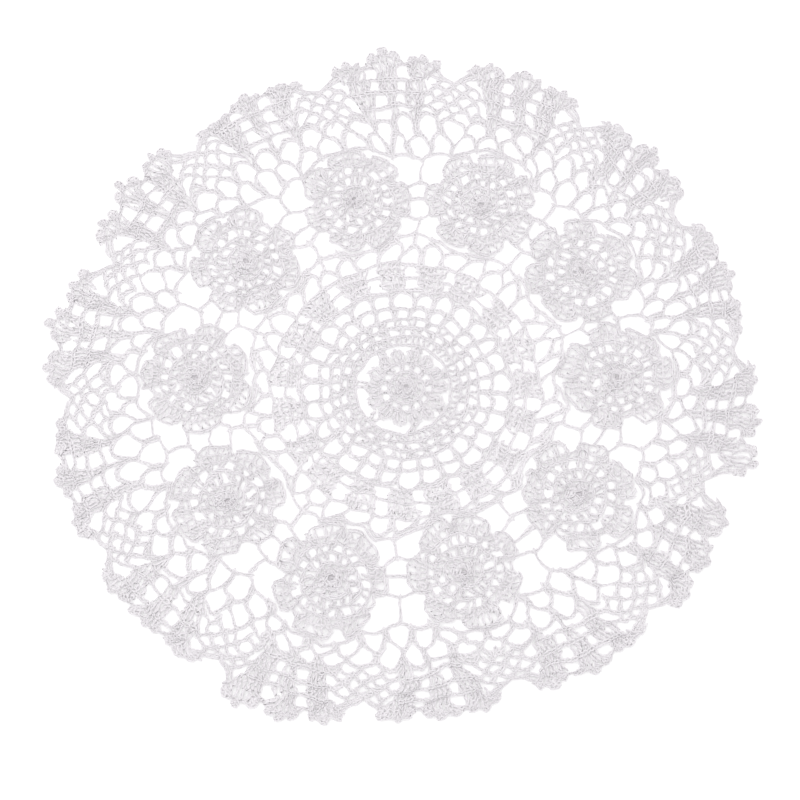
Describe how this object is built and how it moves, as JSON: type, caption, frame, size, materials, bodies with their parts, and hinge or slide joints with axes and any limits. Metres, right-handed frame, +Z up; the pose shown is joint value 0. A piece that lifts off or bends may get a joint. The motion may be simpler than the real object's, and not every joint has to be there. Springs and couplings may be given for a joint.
{
  "type": "crochet lace doily",
  "caption": "Round crocheted cotton doily laid flat: lace medallion, joined rosettes and a scalloped border with picots.",
  "frame": {"origin": "the middle of the outline, on the surface that the doily lies on", "axes": "+Z up out of the cloth's right side, +Y towards the top of the picture, +X to its right"},
  "size_m": [0.3816, 0.3818, 0.0028],
  "materials": {
    "centre_cotton": "white mercerised crochet cotton",
    "rosette_cotton": "white mercerised crochet cotton",
    "border_cotton": "white mercerised crochet cotton"
  },
  "bodies": {
    "root": {"centre": "centre_cotton", "rosette_01": "rosette_cotton", "rosette_02": "rosette_cotton", "rosette_03": "rosette_cotton", "rosette_04": "rosette_cotton", "rosette_05": "rosette_cotton", "rosette_06": "rosette_cotton", "rosette_07": "rosette_cotton", "rosette_08": "rosette_cotton", "rosette_09": "rosette_cotton", "rosette_10": "rosette_cotton", "border": "border_cotton"}
  },
  "joints": []
}
